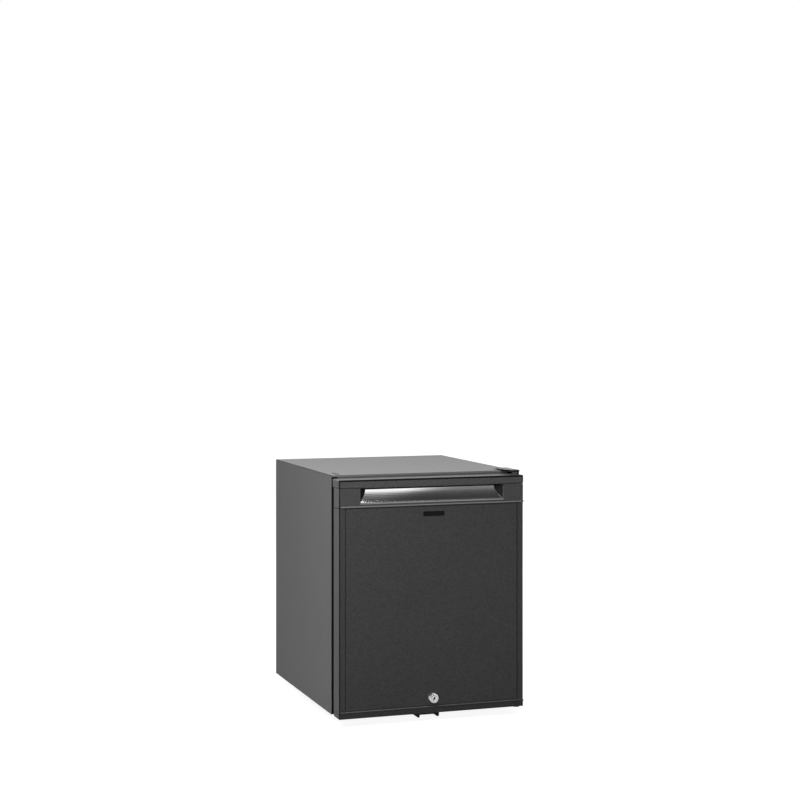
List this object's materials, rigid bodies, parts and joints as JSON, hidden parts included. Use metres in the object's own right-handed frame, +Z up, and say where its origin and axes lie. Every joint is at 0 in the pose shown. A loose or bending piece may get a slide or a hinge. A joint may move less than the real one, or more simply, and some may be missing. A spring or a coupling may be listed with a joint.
{
  "type": "minibar fridge",
  "caption": "Compact absorption minibar fridge with a framed hinged door, recessed handle, door lock, shelves, door bins and a rear cooling unit.",
  "frame": {"origin": "on the floor plane under the middle of the fridge's overall box", "axes": "+Z up, the door faces -Y, +X to the viewer's right where the hinges are"},
  "size_m": [0.4, 0.469, 0.504],
  "materials": {
    "cabinet_paint": "fine textured grey paint",
    "frame_plastic": "fine-grained dark plastic",
    "panel_film": "dark film-coated sheet, fine grain",
    "black_rubber": "matt black",
    "liner_white": "vacuum-formed white",
    "foam": "rigid polyurethane foam",
    "zinc_sheet": "zinc-coated sheet",
    "chrome": "polished chrome",
    "black_steel": "black paint",
    "aluminium": "bare extrusion",
    "shelf_wire": "white coated wire",
    "bin_plastic": "clear tinted plastic",
    "lens_plastic": "frosted",
    "grey_plastic": "satin grey",
    "nylon": "black nylon"
  },
  "bodies": {
    "cabinet": {"left_side_panel": "cabinet_paint", "right_side_panel": "cabinet_paint", "top_panel": "cabinet_paint", "base_panel": "cabinet_paint", "front_collar": "frame_plastic", "rear_panel": "zinc_sheet", "insulation_foam": "foam", "inner_liner": "liner_white", "rear_crossbar": "cabinet_paint", "foot_front_left": "black_rubber", "foot_front_right": "black_rubber", "foot_rear_left": "black_rubber", "foot_rear_right": "black_rubber", "upper_hinge": "cabinet_paint", "lower_hinge": "black_steel", "lock_striker": "black_steel", "evaporator": "aluminium", "drip_tray": "liner_white", "lamp_housing": "grey_plastic", "lamp_lens": "lens_plastic", "boiler_casing": "zinc_sheet", "boiler_tube": "black_steel", "heater_cartridge": "chrome", "vapour_pipe": "black_steel", "condenser": "black_steel", "liquid_line": "black_steel", "gas_heat_exchanger": "black_steel", "absorber_vessel": "black_steel", "absorber_coil": "black_steel", "solution_line": "black_steel", "lower_unit_rail": "zinc_sheet", "upper_unit_rail": "zinc_sheet", "terminal_box": "nylon", "cable_gland": "nylon", "drain_tube": "grey_plastic", "drip_cup": "nylon"},
    "door": {"door_cap": "frame_plastic", "handle_moulding": "frame_plastic", "door_profile_left": "frame_plastic", "door_profile_right": "frame_plastic", "door_bottom_profile": "frame_plastic", "door_panel": "panel_film", "door_core": "foam", "door_liner": "liner_white", "door_gasket": "black_rubber", "upper_hinge_bush": "nylon", "lower_hinge_bush": "nylon", "lock_barrel": "chrome", "lock_nut": "zinc_sheet"},
    "lock": {"lock_cylinder": "chrome", "lock_cam": "zinc_sheet"},
    "lower_bin": {"lower_door_bin": "bin_plastic"},
    "upper_bin": {"upper_door_bin": "bin_plastic"},
    "lower_grid": {"lower_shelf": "shelf_wire"},
    "upper_grid": {"upper_shelf": "shelf_wire"},
    "thermostat": {"thermostat_knob": "grey_plastic"},
    "door_switch": {"door_switch_plunger": "liner_white"}
  },
  "joints": [
    {"name": "door_hinge", "type": "hinge", "parent": "cabinet", "child": "door", "pos_m": [0.19, -0.2075, 0.018], "axis": [0, 0, 1], "range_deg": [0, 115]},
    {"name": "lock_turn", "type": "hinge", "parent": "door", "child": "lock", "pos_m": [0, -0.2255, 0.049], "axis": [0, 1, 0], "range_deg": [0, 90]},
    {"name": "lower_bin_lift", "type": "slide", "parent": "door", "child": "lower_bin", "axis": [0, 0, 1], "range_m": [0, 0.016]},
    {"name": "upper_bin_lift", "type": "slide", "parent": "door", "child": "upper_bin", "axis": [0, 0, 1], "range_m": [0, 0.016]},
    {"name": "lower_shelf_slide", "type": "slide", "parent": "cabinet", "child": "lower_grid", "axis": [0, -1, 0], "range_m": [0, 0.05]},
    {"name": "upper_shelf_slide", "type": "slide", "parent": "cabinet", "child": "upper_grid", "axis": [0, -1, 0], "range_m": [0, 0.05]},
    {"name": "thermostat_turn", "type": "hinge", "parent": "cabinet", "child": "thermostat", "pos_m": [0.126, -0.1695, 0.4477], "axis": [0, -1, 0], "range_deg": [0, 270]},
    {"name": "door_switch_press", "type": "slide", "parent": "cabinet", "child": "door_switch", "axis": [0, 1, 0], "range_m": [0, 0.003], "stiffness_N_per_m": 150}
  ]
}
